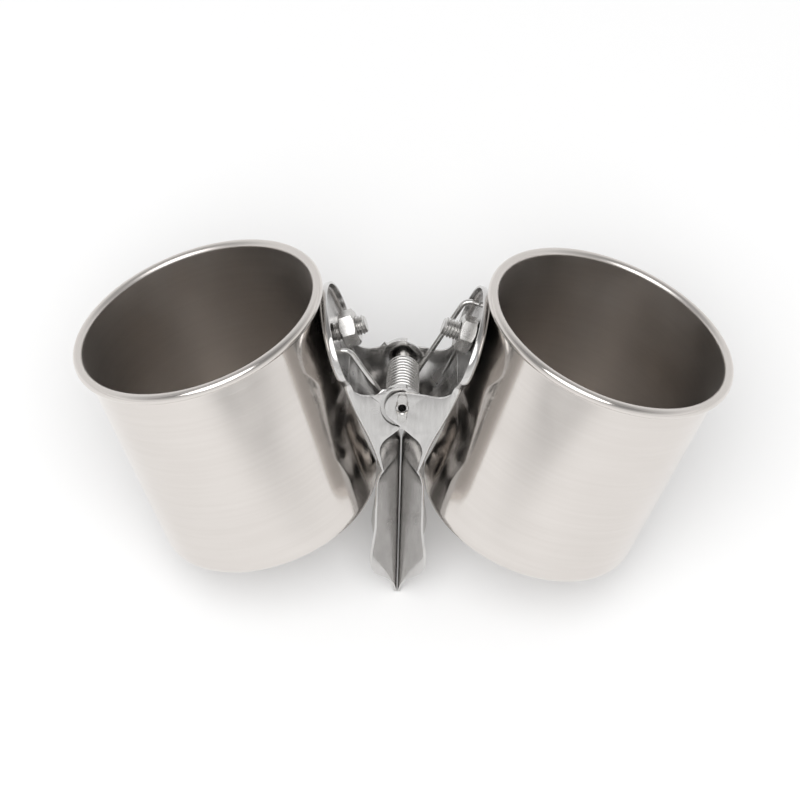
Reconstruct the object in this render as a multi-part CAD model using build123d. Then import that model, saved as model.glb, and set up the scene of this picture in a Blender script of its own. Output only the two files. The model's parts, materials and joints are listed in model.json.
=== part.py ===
"""Double seed cup on a spring clip: two beaded steel cups bolted to the handles of one clip.

The clip is drawn upright: X across the two handles, Y along the pivot pin from front to back,
Z up the clip, origin on the pin. Everything on the left is drawn on the right and mirrored.
The whole part is then tipped back until it rests on three points, the two cup bases and the
jaw tips, and its origin is put under the middle of its box. Lengths are in millimetres.
"""

import math
import os

from build123d import *

# Cups
RIM_RADIUS = 40.0  # outside of the rolled bead
BEAD_RADIUS = 1.6
BEAD_CURL = 290.0  # degrees that the rim is rolled through
CUP_HEIGHT = 75.5
CUP_WALL = 0.7
CUP_BASE_RADIUS = 35.2  # where the straight wall would meet the base
CUP_CORNER_RADIUS = 4.5
CUP_LEAN = 18.4  # degrees, each cup away from the clip
CUP_SWING = 7.0  # degrees, each cup turned forward on its bolt

# Clip levers
SHEET = 0.8
LEVER_WIDTH = 32.0  # over the two side flanges
KNEE_X = 17.4  # outer face, where the handle meets the flanged part
KNEE_Z = 4.2
KNEE_OVERLAP = 0.6
HANDLE_LEAN = 19.5  # degrees, each handle away from the middle
HANDLE_RISE = 27.3  # knee to the top of the handle, along the handle
HANDLE_CENTRE_RISE = 11.0  # knee to the middle of the oval
HANDLE_RIM = 2.8
HANDLE_BEND = 1.2
DIP_SETBACK = 4.4  # knee to the dip in the flange's top edge
DIP_Z = 3.6
EAR_RADIUS = 5.2
POCKET_RADIUS = 6.6  # recess pressed into the left flange, round the right ear
POCKET_TOP_END = 1.0  # how far the recess's wall runs past the pin, above and below it
POCKET_LOW_END = -0.6
APEX_Z = -6.9  # top of the arch under the pivot
SHOULDER_X = 4.4
SHOULDER_Z = -10.8
ARCH_SIDE_X = 6.5
ARCH_SIDE_Z = -15.8
NECK_X = 6.1
NECK_Z = -22.5
WEB_DISH = ((0, 0.002), (0.3, 0.08), (0.6, 0.62), (0.82, 0.95), (1, 1))  # way down, way in

# Jaws: two arched tongues whose ridges meet
JAW_TIP_Z = -75.8
JAW_HALF_WIDTH = 12.0
JAW_FLARE_X = 7.6  # outer face of the tongue's edges below the neck
JAW_FLARE_Z = -30.5
JAW_END_X = 8.9
JAW_END_Z = -57.0  # where the tongue starts to run to a point
JAW_BULGE = 0.8  # of the pointed end's sides
JAW_NOSE_RADIUS = 2.0
RIDGE_GAP = 0.3

# Pivot pin: a tube split at both ends, its halves bent over the ears
PIN_RADIUS = 1.9
PIN_BORE_RADIUS = 1.3
PIN_CLEARANCE = 0.06
TAB_WIDTH = 2.7
TAB_REACH = 4.7
TAB_THICKNESS = 0.55
EAR_CLEARANCE = 0.2

# Torsion spring
WIRE_RADIUS = 0.85
COIL_RADIUS = 4.25  # to the middle of the wire
COIL_PITCH = 2.2
COIL_WHOLE_TURNS = 8
COIL_START_Y = -11.0
LEG_ANGLE = 55.0  # degrees, both legs above the horizontal
LEG_BEND_RADIUS = 3.5
LEG_END_GAP = 0.35

# M6 bolts and nuts
BOLT_RADIUS = 3.0
BOLT_CLEARANCE = 0.3
BOLT_LENGTH = 13.0
BOLT_CHAMFER = 0.6
BOLT_HEAD_RADIUS = 5.5
BOLT_HEAD_HEIGHT = 3.4
BOLT_HEAD_ROUND = 2.2
DRIVE_WIDTH = 1.2
DRIVE_LENGTH = 5.6
DRIVE_DEPTH = 1.6
NUT_FLATS = 10.0
NUT_HEIGHT = 5.0
NUT_CHAMFER = 0.45
NUT_BORE_CLEARANCE = 0.04
NUT_TURN = 35.0  # degrees, from a flat square to the pin
LEFT_NUT_BACKED_OFF = 2.2  # the left nut is not run right up
BOLT_RISE = 13.2  # knee to the bolt, along the handle
CUP_TOUCH_Z = 69.5  # height on the cup where its wall meets the top of the handle
SEAT_GAP = 0.05

# Worked out from the sizes above
FLANGE_Y = LEVER_WIDTH / 2
BEAD_Z = CUP_HEIGHT - BEAD_RADIUS
BEAD_CENTRE_RADIUS = RIM_RADIUS - BEAD_RADIUS
CUP_TOP_RADIUS = RIM_RADIUS - 2 * BEAD_RADIUS + CUP_WALL
TAPER = math.atan2(CUP_TOP_RADIUS - CUP_BASE_RADIUS, BEAD_Z)
CORNER_CENTRE_RADIUS = CUP_BASE_RADIUS - CUP_CORNER_RADIUS / math.tan(math.pi / 4 + TAPER / 2)
HANDLE_HALF_HEIGHT = HANDLE_RISE - HANDLE_CENTRE_RISE
HANDLE_HALF_WIDTH = FLANGE_Y / math.sqrt(1 - (HANDLE_CENTRE_RISE / HANDLE_HALF_HEIGHT) ** 2)
RIDGE_X = RIDGE_GAP / 2 + SHEET  # outer face of a lever along its ridge
JAW_NOSE_Z = JAW_TIP_Z + JAW_NOSE_RADIUS
BOLT_HOLE_RADIUS = BOLT_RADIUS + BOLT_CLEARANCE

# The right handle: up along it, and out of its face towards its cup
HANDLE_UP = Vector(0, 0, 1).rotate(Axis.Y, HANDLE_LEAN)
HANDLE_OUT = Vector(1, 0, 0).rotate(Axis.Y, HANDLE_LEAN)
KNEE = Vector(KNEE_X, 0, KNEE_Z)
BOLT_SEAT = KNEE + HANDLE_UP * BOLT_RISE
HANDLE_PLANE = Plane(origin=KNEE, x_dir=(0, 1, 0), z_dir=HANDLE_OUT)
BOLT_PLANE = Plane(origin=BOLT_SEAT, x_dir=(0, 1, 0), z_dir=-HANDLE_OUT)

# The cup's wall meets the handle's top at a small angle, so it stands off a little at the bolt
CUP_TOUCH = HANDLE_RISE - HANDLE_BEND  # knee to the touching point, along the handle
WALL_ANGLE = math.radians(HANDLE_LEAN - CUP_LEAN) + TAPER
WALL_STANDOFF = SEAT_GAP + (CUP_TOUCH - BOLT_RISE) * math.tan(WALL_ANGLE)
CUP_TOUCH_RADIUS = CUP_BASE_RADIUS + CUP_TOUCH_Z * math.tan(TAPER)


def at(x, z):
    """A point in the XZ plane."""
    return (x, 0, z)


def polar(radius, angle, centre=(0, 0)):
    """A point in the XZ plane, at an angle round a centre."""
    return at(centre[0] + radius * math.cos(angle), centre[1] + radius * math.sin(angle))


def face_of(*edges):
    """The face inside a closed run of edges."""
    return make_face(Curve() + list(edges))


def along_pin(radius, length=2 * LEVER_WIDTH):
    """A round bar on the pin's axis."""
    return Rot(90, 0, 0) * Cylinder(radius, length)


def front_and_back(solid):
    """A piece of the front flange and its twin on the back flange."""
    return solid + mirror(solid, about=Plane.XZ)


def flange_outline():
    """One side flange: knee, dip, ear, arch and neck."""
    rim_edge = KNEE - HANDLE_OUT * HANDLE_RIM
    dip_x = KNEE_X - DIP_SETBACK
    dip_reach = math.hypot(dip_x, DIP_Z)
    ear_top = math.atan2(DIP_Z, dip_x) + math.acos(EAR_RADIUS / dip_reach)
    ear_low = 1.5 * math.pi - math.acos(EAR_RADIUS / -APEX_Z)
    knee = at(KNEE_X, KNEE_Z)
    rim_end = at(rim_edge.X, rim_edge.Z)
    dip = at(dip_x, DIP_Z)
    apex = at(0, APEX_Z)
    shoulder = at(SHOULDER_X, SHOULDER_Z)
    side = at(ARCH_SIDE_X, ARCH_SIDE_Z)
    neck = at(NECK_X, NECK_Z)
    neck_inside = at(NECK_X - SHEET, NECK_Z)
    return face_of(
        Line(knee, rim_end),
        Line(rim_end, dip),
        Line(dip, polar(EAR_RADIUS, ear_top)),
        ThreePointArc(
            polar(EAR_RADIUS, ear_top),
            polar(EAR_RADIUS, (ear_top + ear_low) / 2),
            polar(EAR_RADIUS, ear_low),
        ),
        Line(polar(EAR_RADIUS, ear_low), apex),
        Line(apex, shoulder),
        TangentArc(shoulder, side, tangent=at(SHOULDER_X, SHOULDER_Z - APEX_Z)),
        Line(side, neck_inside),
        Line(neck_inside, neck),
        Line(neck, knee),
    )


def flange(low, high):
    """The side flange as a plate from y = low to y = high."""
    return extrude(Pos(0, low, 0) * flange_outline(), amount=high - low, dir=(0, 1, 0))


def pocket_flange():
    """The left lever's flange: flush outside, stepped in behind the right lever's ear."""
    low = -FLANGE_Y
    floor = low + SHEET + EAR_CLEARANCE
    inside = floor + SHEET
    rim_radius = POCKET_RADIUS + SHEET
    past_top = Pos(-POCKET_TOP_END - LEVER_WIDTH / 2, low, LEVER_WIDTH / 2)
    past_low = Pos(-POCKET_LOW_END - LEVER_WIDTH / 2, low, -LEVER_WIDTH / 2)
    beyond = past_top * Box(LEVER_WIDTH, LEVER_WIDTH, LEVER_WIDTH)
    beyond += past_low * Box(LEVER_WIDTH, LEVER_WIDTH, LEVER_WIDTH)
    rim = Pos(0, (low + inside) / 2, 0) * along_pin(rim_radius, inside - low)
    rim &= Pos(0, low, rim_radius) * Box(4 * rim_radius, LEVER_WIDTH, 2 * rim_radius)
    stock = flange(low, inside) + rim
    within = stock & along_pin(rim_radius)
    bottom = within & Pos(0, (floor + inside) / 2, 0) * Box(LEVER_WIDTH, SHEET, LEVER_WIDTH)
    wall = within - along_pin(POCKET_RADIUS) - beyond
    plate = flange(low, low + SHEET) - along_pin(POCKET_RADIUS) - beyond
    return plate + wall + bottom


def sheet_section(z, edge_x, ridge_x, half_width):
    """A lever's sheet cut level: an arched strip, its edges at edge_x, its middle at ridge_x."""
    front = (edge_x, -half_width, z)
    back = (edge_x, half_width, z)
    front_inside = (edge_x - SHEET, -half_width, z)
    back_inside = (edge_x - SHEET, half_width, z)
    return face_of(
        ThreePointArc(front, (ridge_x, 0, z), back),
        Line(back, back_inside),
        ThreePointArc(back_inside, (ridge_x - SHEET, 0, z), front_inside),
        Line(front_inside, front),
    )


def web():
    """Knee to neck: flat at the knee, then dished in until the two ridges almost meet."""
    sections = []
    for down, dish in WEB_DISH:
        z = KNEE_Z + (NECK_Z - KNEE_Z) * down
        edge_x = KNEE_X + (NECK_X - KNEE_X) * down
        sections.append(sheet_section(z, edge_x, edge_x + (RIDGE_X - edge_x) * dish, FLANGE_Y))
    return loft(sections)


def jaw():
    """Neck to tip: an arched tongue with flared edges and a pointed end."""
    middle_z = (JAW_FLARE_Z + JAW_END_Z) / 2
    tongue = loft(
        [
            sheet_section(NECK_Z, NECK_X, RIDGE_X, FLANGE_Y),
            sheet_section(JAW_FLARE_Z, JAW_FLARE_X, RIDGE_X, JAW_HALF_WIDTH),
            sheet_section(middle_z, JAW_FLARE_X, RIDGE_X, JAW_HALF_WIDTH),
            sheet_section(JAW_END_Z, JAW_END_X, RIDGE_X, JAW_HALF_WIDTH),
            sheet_section(JAW_TIP_Z, JAW_END_X, RIDGE_X, JAW_HALF_WIDTH),
        ]
    )
    return tongue & extrude(jaw_outline(), amount=2 * KNEE_X, dir=(1, 0, 0))


def jaw_outline():
    """The tongue seen square on, in the YZ plane: straight sides, then a bulged point."""
    corner = Vector(0, JAW_HALF_WIDTH + SHEET, JAW_END_Z)
    nose = Vector(0, 0, JAW_NOSE_Z)
    reach = corner - nose
    turn = math.atan2(reach.Z, reach.Y) - math.acos(JAW_NOSE_RADIUS / reach.length)
    out = Vector(0, math.cos(turn), math.sin(turn))
    side_end = nose + out * JAW_NOSE_RADIUS
    side_middle = (corner + side_end) * 0.5 + out * JAW_BULGE
    top = Vector(0, LEVER_WIDTH, NECK_Z)
    half = [Line(top, corner), ThreePointArc(corner, side_middle, side_end)]
    twin = [mirror(edge, about=Plane.XZ) for edge in half]
    nose_arc = ThreePointArc(side_end, (0, 0, JAW_TIP_Z), (0, -side_end.Y, side_end.Z))
    return face_of(*half, nose_arc, *twin, Line(top, (0, -top.Y, top.Z)))


def handle():
    """The oval dished handle above the knee, with its turned-in rim."""
    middle = Pos(0, HANDLE_CENTRE_RISE)
    above = Pos(0, HANDLE_RISE - KNEE_OVERLAP) * Rectangle(4 * HANDLE_HALF_WIDTH, 2 * HANDLE_RISE)
    oval = middle * Ellipse(HANDLE_HALF_WIDTH, HANDLE_HALF_HEIGHT) & above
    hollow = middle * Ellipse(HANDLE_HALF_WIDTH - SHEET, HANDLE_HALF_HEIGHT - SHEET)
    dish = extrude(oval, amount=-HANDLE_RIM)
    bend = dish.edges().filter_by(GeomType.ELLIPSE).sort_by(Axis.Z)[-1]
    dish = fillet(bend, HANDLE_BEND)
    dish -= extrude(Pos(0, 0, -SHEET) * hollow, amount=-HANDLE_RIM)
    return HANDLE_PLANE * dish


def lever(front_flange):
    """One lever of the clip in a single sheet, with its bolt hole and pin holes."""
    sheet = handle() + web() + jaw() + front_and_back(front_flange)
    sheet -= BOLT_PLANE * Cylinder(BOLT_HOLE_RADIUS, 4 * SHEET)
    return sheet - along_pin(PIN_RADIUS + PIN_CLEARANCE)


def cup_profile():
    """Half of the cup's section: base, rounded corner, tapered wall and rolled bead."""
    corner = (CORNER_CENTRE_RADIUS, CUP_CORNER_RADIUS)
    bead = (BEAD_CENTRE_RADIUS, BEAD_Z)
    inner_corner = CUP_CORNER_RADIUS - CUP_WALL
    inner_bead = BEAD_RADIUS - CUP_WALL
    half_turn = -(math.pi / 2 + TAPER) / 2
    curl_end = math.radians(180 - BEAD_CURL)
    curl_mid = math.radians(180 - BEAD_CURL / 2)
    return face_of(
        Line(at(0, 0), at(CORNER_CENTRE_RADIUS, 0)),
        ThreePointArc(
            at(CORNER_CENTRE_RADIUS, 0),
            polar(CUP_CORNER_RADIUS, half_turn, corner),
            polar(CUP_CORNER_RADIUS, -TAPER, corner),
        ),
        Line(polar(CUP_CORNER_RADIUS, -TAPER, corner), at(CUP_TOP_RADIUS, BEAD_Z)),
        ThreePointArc(
            at(CUP_TOP_RADIUS, BEAD_Z),
            polar(inner_bead, curl_mid, bead),
            polar(inner_bead, curl_end, bead),
        ),
        Line(polar(inner_bead, curl_end, bead), polar(BEAD_RADIUS, curl_end, bead)),
        ThreePointArc(
            polar(BEAD_RADIUS, curl_end, bead),
            polar(BEAD_RADIUS, curl_mid, bead),
            at(CUP_TOP_RADIUS - CUP_WALL, BEAD_Z),
        ),
        Line(at(CUP_TOP_RADIUS - CUP_WALL, BEAD_Z), polar(inner_corner, -TAPER, corner)),
        ThreePointArc(
            polar(inner_corner, -TAPER, corner),
            polar(inner_corner, half_turn, corner),
            at(CORNER_CENTRE_RADIUS, CUP_WALL),
        ),
        Line(at(CORNER_CENTRE_RADIUS, CUP_WALL), at(0, CUP_WALL)),
        Line(at(0, CUP_WALL), at(0, 0)),
    )


def cup_place():
    """Where the right cup goes: wall against the handle, then turned forward on the bolt."""
    touch = KNEE + HANDLE_UP * CUP_TOUCH + HANDLE_OUT * SEAT_GAP
    leaned = Pos(touch.X, 0, touch.Z) * Rot(0, CUP_LEAN, 0) * Pos(CUP_TOUCH_RADIUS, 0, -CUP_TOUCH_Z)
    bolt_axis = BOLT_PLANE.location
    return bolt_axis * Rot(0, 0, -CUP_SWING) * bolt_axis.inverse() * leaned


def cup():
    """The right cup, drilled for its bolt."""
    body = cup_place() * revolve(cup_profile(), Axis.Z)
    return body - BOLT_PLANE * Cylinder(BOLT_HOLE_RADIUS, 4 * BOLT_HEAD_RADIUS)


def bolt():
    """A cross-slotted round-head bolt, its head inside the cup and its end inside the clip."""
    hollow = BOLT_HEAD_RADIUS**2 / (2 * (CUP_BASE_RADIUS - CUP_WALL))  # the round wall under a flat head
    askew = BOLT_HEAD_RADIUS * math.tan(WALL_ANGLE)
    seat = -(WALL_STANDOFF + CUP_WALL + hollow + askew + SEAT_GAP)
    shank = Pos(0, 0, seat + BOLT_LENGTH / 2) * Cylinder(BOLT_RADIUS, BOLT_LENGTH)
    shank = chamfer(shank.edges().sort_by(Axis.Z)[-1], BOLT_CHAMFER)
    head = Pos(0, 0, seat - BOLT_HEAD_HEIGHT / 2) * Cylinder(BOLT_HEAD_RADIUS, BOLT_HEAD_HEIGHT)
    head = fillet(head.edges().sort_by(Axis.Z)[0], BOLT_HEAD_ROUND)
    top = Pos(0, 0, seat - BOLT_HEAD_HEIGHT)
    head -= top * Box(DRIVE_LENGTH, DRIVE_WIDTH, 2 * DRIVE_DEPTH)
    head -= top * Box(DRIVE_WIDTH, DRIVE_LENGTH, 2 * DRIVE_DEPTH)
    return BOLT_PLANE * (shank + head)


def nut(backed_off=0.0):
    """A chamfered hexagon nut on the bolt, run up to the handle's inner face or backed off it."""
    low = SHEET + SEAT_GAP + backed_off
    hexagon = RegularPolygon(NUT_FLATS / 2, 6, major_radius=False)
    blank = Cylinder(NUT_FLATS / math.sqrt(3), NUT_HEIGHT)
    blank = chamfer(blank.edges().filter_by(GeomType.CIRCLE), NUT_CHAMFER)
    body = extrude(hexagon, amount=NUT_HEIGHT / 2, both=True) & blank
    body -= Cylinder(BOLT_RADIUS + NUT_BORE_CLEARANCE, 2 * NUT_HEIGHT)
    return BOLT_PLANE * Pos(0, 0, low + NUT_HEIGHT / 2) * Rot(0, 0, NUT_TURN) * body


def pivot_pin():
    """The hollow pin and the two pairs of tabs that hold the ears together."""
    tab_y = FLANGE_Y + EAR_CLEARANCE
    pin = along_pin(PIN_RADIUS, 2 * (tab_y + TAB_THICKNESS))
    end = Pos(0, -tab_y - TAB_THICKNESS / 2, 0) * Box(TAB_WIDTH, TAB_THICKNESS, 2 * TAB_REACH)
    return pin + front_and_back(end) - along_pin(PIN_BORE_RADIUS)


def coil_point(turned):
    """A point on the middle of the coiled wire, and its direction there."""
    angle = math.radians(270 - LEG_ANGLE) + turned
    rise = COIL_PITCH / (2 * math.pi)
    point = Vector(COIL_RADIUS * math.cos(angle), COIL_START_Y + rise * turned, COIL_RADIUS * math.sin(angle))
    direction = Vector(-COIL_RADIUS * math.sin(angle), rise, COIL_RADIUS * math.cos(angle))
    return point, direction.normalized()


def biarc(start, start_way, end, end_way):
    """Two arcs that run from start to end and keep the wire's direction at both."""
    span = end - start
    ways = start_way + end_way
    open_part = 4 - ways.dot(ways)
    along = span.dot(ways)
    reach = (math.sqrt(along**2 + open_part * span.dot(span)) - along) / open_part
    first = start + start_way * reach
    last = end - end_way * reach
    joint = (first + last) * 0.5
    return [TangentArc(start, joint, tangent=start_way), TangentArc(joint, end, tangent=last - first)]


def spring_leg(start, way, handle_out):
    """From the coil to a handle: straight, bent round, and square onto the handle's inner face."""
    knee = Vector(math.copysign(KNEE_X, handle_out.X), 0, KNEE_Z)
    clear = (knee - start).dot(handle_out) - SHEET - LEG_END_GAP
    tip = 2 * WIRE_RADIUS
    bend = LEG_BEND_RADIUS * math.tan(way.get_angle(handle_out) * math.pi / 360)
    slope = way.dot(handle_out)
    bend_start = start + way * ((clear - tip - bend * (1 + slope)) / slope)
    bend_end = bend_start + (way + handle_out) * bend
    return bend_start, bend_end, bend_end + handle_out * tip


def spring_path():
    """The middle of the spring's wire, from the left handle round the pin to the right one."""
    total = 2 * math.pi * COIL_WHOLE_TURNS + math.radians(2 * LEG_ANGLE)
    steps = math.ceil(total / (math.pi / 2))
    stops = [coil_point(total * step / steps) for step in range(steps + 1)]
    first, first_way = stops[0]
    last, last_way = stops[-1]
    left_bend, left_turned, left_tip = spring_leg(first, -first_way, Vector(-HANDLE_OUT.X, 0, HANDLE_OUT.Z))
    right_bend, right_turned, right_tip = spring_leg(last, last_way, HANDLE_OUT)
    edges = [
        Line(left_tip, left_turned),
        TangentArc(left_turned, left_bend, tangent=left_turned - left_tip),
        Line(left_bend, first),
    ]
    for (start, start_way), (end, end_way) in zip(stops, stops[1:]):
        edges += biarc(start, start_way, end, end_way)
    edges += [
        Line(last, right_bend),
        TangentArc(right_bend, right_turned, tangent=last_way),
        Line(right_turned, right_tip),
    ]
    return edges


def least_gap(edges, samples=8):
    """Least gap between two stretches of the wire that are half a turn or more apart."""
    points = []
    run = 0.0
    for edge in edges:
        count = max(samples, int(edge.length))
        points += [(run + edge.length * i / count, edge.position_at(i / count)) for i in range(count)]
        run += edge.length
    apart = math.pi * COIL_RADIUS
    nearest = min(
        (there - here).length
        for i, (run_here, here) in enumerate(points)
        for run_there, there in points[i + 1 :]
        if run_there - run_here > apart
    )
    return nearest - 2 * WIRE_RADIUS


def torsion_spring():
    """The wire of the spring: two legs and one close-wound coil round the pin."""
    edges = spring_path()
    print(f"spring: least gap to itself {least_gap(edges):.2f} mm")
    section = Plane(origin=edges[0] @ 0, z_dir=edges[0] % 0) * Circle(WIRE_RADIUS)
    return sweep(section, path=Wire(edges))


def resting_tilt():
    """How far the part tips back, in degrees, when cup bases and jaw tips share one level."""
    place = cup_place()
    base = (place * Pos(0, 0, 0)).position
    axis = (place * Pos(0, 0, 1)).position - base
    corner = base + axis * CUP_CORNER_RADIUS
    low, high = 0.0, math.pi / 3
    for _ in range(50):
        tilt = (low + high) / 2
        up = Vector(0, -math.sin(tilt), math.cos(tilt))
        across = math.sqrt(1 - up.dot(axis) ** 2)
        cup_level = corner.dot(up) - CORNER_CENTRE_RADIUS * across - CUP_CORNER_RADIUS
        if JAW_NOSE_Z * math.cos(tilt) - JAW_NOSE_RADIUS < cup_level:
            low = tilt
        else:
            high = tilt
    return math.degrees(low)


def assembly():
    """Every piece by name, still upright on the pin."""
    pieces = {}
    for name, piece in (("cup", cup()), ("cup_bolt", bolt())):
        pieces[f"left_{name}"] = mirror(piece, about=Plane.YZ)
        pieces[f"right_{name}"] = piece
    pieces["left_cup_nut"] = mirror(nut(LEFT_NUT_BACKED_OFF), about=Plane.YZ)
    pieces["right_cup_nut"] = nut()
    pieces["left_lever"] = mirror(lever(pocket_flange()), about=Plane.YZ)
    pieces["right_lever"] = lever(flange(-FLANGE_Y, SHEET - FLANGE_Y))
    pieces["pivot_pin"] = pivot_pin()
    pieces["torsion_spring"] = torsion_spring()
    return pieces


def stand(pieces):
    """Tip the part onto its three resting points and put its origin under its middle."""
    tilt = resting_tilt()
    tipped = {name: Rot(-tilt, 0, 0) * piece for name, piece in pieces.items()}
    box = Compound(tipped.values()).bounding_box()
    centre = box.center()
    shift = Pos(-centre.X, -centre.Y, -box.min.Z)
    pivot = shift.position
    print(f"tipped back {tilt:.3f} degrees, box {box.size.X:.2f} x {box.size.Y:.2f} x {box.size.Z:.2f} mm")
    print(f"pivot at {pivot.X:.3f} {pivot.Y:.3f} {pivot.Z:.3f} mm")
    return {name: shift * piece for name, piece in tipped.items()}


def main():
    os.makedirs("parts", exist_ok=True)
    for name, piece in stand(assembly()).items():
        piece.label = name
        export_step(piece, f"parts/{name}.step")


main()
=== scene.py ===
# %% [markdown]
# # A double seed cup on a spring clip
# Two polished steel cups are bolted to the handles of one stamped clip. The solids of the part come
# first, as a fixed frame that says where everything is and how it moves. Each cell below then
# replaces one of those solids with a finer mesh: smooth enough for a mirror finish, with rolled
# rims, bent sheet, wound wire and cut threads.

# %% Load the frame
import json
import math

import bmesh
import bpy
import numpy as np
from mathutils import Matrix, Vector


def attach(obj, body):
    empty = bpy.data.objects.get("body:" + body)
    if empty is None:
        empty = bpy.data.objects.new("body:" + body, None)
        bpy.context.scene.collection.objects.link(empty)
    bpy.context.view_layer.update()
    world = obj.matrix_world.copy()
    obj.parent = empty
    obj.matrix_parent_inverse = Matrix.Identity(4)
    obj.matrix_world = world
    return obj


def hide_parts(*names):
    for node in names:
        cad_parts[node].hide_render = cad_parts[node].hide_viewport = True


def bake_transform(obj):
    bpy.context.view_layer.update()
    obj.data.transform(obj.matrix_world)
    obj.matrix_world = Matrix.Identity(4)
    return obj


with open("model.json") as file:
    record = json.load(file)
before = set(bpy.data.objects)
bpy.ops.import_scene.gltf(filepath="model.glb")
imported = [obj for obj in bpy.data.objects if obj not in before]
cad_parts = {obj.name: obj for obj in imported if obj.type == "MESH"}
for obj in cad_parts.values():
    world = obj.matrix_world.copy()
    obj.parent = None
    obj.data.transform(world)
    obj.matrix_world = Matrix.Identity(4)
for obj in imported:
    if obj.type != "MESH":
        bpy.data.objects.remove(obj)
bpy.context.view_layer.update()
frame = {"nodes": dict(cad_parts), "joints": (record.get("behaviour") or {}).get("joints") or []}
print("nodes:", sorted(frame["nodes"]))

# %% [markdown]
# The clip is easiest to draw upright, in millimetres, with the pivot pin along Y and the handles up
# Z. The hinge of the frame holds where that upright drawing went: its point is the pin's middle, and
# its axis runs along the pin towards the viewer. One matrix made from these puts every piece in place.

# %% Upright drawing to frame
hinge = frame["joints"][0]
pin_way = -Vector(hinge["axis"]).normalized()
across = Vector((1, 0, 0))
clip_up = across.cross(pin_way)
MM = 0.001
CLIP = Matrix.Translation(hinge["pos_m"]) @ Matrix((across, pin_way, clip_up)).transposed().to_4x4()
CLIP = CLIP @ Matrix.Scale(MM, 4)
MIRROR = Matrix.Scale(-1, 4, (1, 0, 0))
LEFT, RIGHT = "left_side", "right_side"
print("clip tips back", round(math.degrees(math.atan2(-pin_way.z, pin_way.y)), 2), "degrees")

# %% [markdown]
# Sizes of the real thing, in millimetres. These are shared by several pieces, and the others come
# where they are first needed. They are the sizes of the solids, apart from the spring, whose turns
# lie closer here.

# %% Shared sizes
SHEET, LEVER_WIDTH, SEAT_GAP = 0.8, 32.0, 0.05
KNEE_X, KNEE_Z = 17.4, 4.2
HANDLE_LEAN, HANDLE_RISE = math.radians(19.5), 27.3
BOLT_RISE = 13.2

FLANGE_Y = LEVER_WIDTH / 2
HANDLE_UP = Vector((math.sin(HANDLE_LEAN), 0, math.cos(HANDLE_LEAN)))
HANDLE_OUT = Vector((math.cos(HANDLE_LEAN), 0, -math.sin(HANDLE_LEAN)))
KNEE = Vector((KNEE_X, 0, KNEE_Z))
BOLT_SEAT = KNEE + HANDLE_UP * BOLT_RISE
print("bolts pass the handles at", tuple(round(v, 2) for v in BOLT_SEAT))

# %% [markdown]
# The tools of the trade come next. `add` puts a node into a tree and joins it up, `calc` is one sum in
# a tree, and `grow` runs a Geometry Nodes tree on a few points and keeps the result as a plain mesh. A
# tree's inputs have names, but a modifier knows them only by identifier, so `grow` looks those up.


# %% Node helpers
def add(tree, kind, inputs=(), **settings):
    """A new node with its settings; inputs pairs each socket with a value or another socket."""
    node = tree.nodes.new(kind)
    for name, value in settings.items():
        setattr(node, name, value)
    for key, value in dict(inputs).items():
        named = [s for s in node.inputs if s.enabled and s.name == key]
        socket = named[0] if named else node.inputs[key]
        if isinstance(value, bpy.types.NodeSocket):
            tree.links.new(value, socket)
        else:
            socket.default_value = value
    return node


def calc(tree, operation, *values):
    """The result of one maths node."""
    return add(tree, "ShaderNodeMath", enumerate(values), operation=operation).outputs[0]


def output(node, name):
    """The socket of that name that is in use."""
    return next(s for s in node.outputs if s.enabled and s.name == name)


def blank_tree(owner):
    """The emptied node tree of a material or a world."""
    owner.use_nodes = True
    owner.node_tree.nodes.clear()
    return owner.node_tree


def new_tree(name, **inputs):
    """An empty Geometry Nodes tree with named inputs, and its input sockets by name."""
    tree = bpy.data.node_groups.new(name, "GeometryNodeTree")
    face = tree.interface
    face.new_socket("Geometry", in_out="INPUT", socket_type="NodeSocketGeometry")
    for label, default in inputs.items():
        if default is None:
            face.new_socket(label, in_out="INPUT", socket_type="NodeSocketMaterial")
        else:
            kind = "NodeSocketInt" if isinstance(default, int) else "NodeSocketFloat"
            face.new_socket(label, in_out="INPUT", socket_type=kind).default_value = default
    face.new_socket("Geometry", in_out="OUTPUT", socket_type="NodeSocketGeometry")
    return tree, add(tree, "NodeGroupInput").outputs


def end_tree(tree, geometry, material):
    """Realize, set the material and hand the mesh out."""
    real = add(tree, "GeometryNodeRealizeInstances", {"Geometry": geometry})
    coated = add(tree, "GeometryNodeSetMaterial", {"Geometry": real.outputs[0], "Material": material})
    add(tree, "NodeGroupOutput", {"Geometry": coated.outputs[0]})


def points_mesh(name, points):
    """Points joined in a row, as the source of a tree."""
    mesh = bpy.data.meshes.new(name)
    mesh.from_pydata([tuple(p) for p in points], [(i, i + 1) for i in range(len(points) - 1)], [])
    return mesh


def linked(name, data):
    """A new object in the scene."""
    thing = bpy.data.objects.new(name, data)
    bpy.context.collection.objects.link(thing)
    return thing


def baked(maker):
    """The plain mesh that an object's modifiers make; the object itself goes."""
    graph = bpy.context.evaluated_depsgraph_get()
    made = bpy.data.meshes.new_from_object(maker.evaluated_get(graph), depsgraph=graph)
    bpy.data.objects.remove(maker)
    return made


def grow(tree, source, **values):
    """The plain mesh that a tree makes from a source mesh."""
    maker = linked("maker", source)
    modifier = maker.modifiers.new("tree", "NODES")
    modifier.node_group = tree
    for item in tree.interface.items_tree:
        if item.item_type == "SOCKET" and item.in_out == "INPUT" and item.name in values:
            modifier[item.identifier] = values[item.name]
    return baked(maker)


# %% [markdown]
# A finished piece is moved from the upright drawing into the frame, its faces are turned outwards,
# and it is given to the body that carries it, in place of the solid it dresses.


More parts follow.
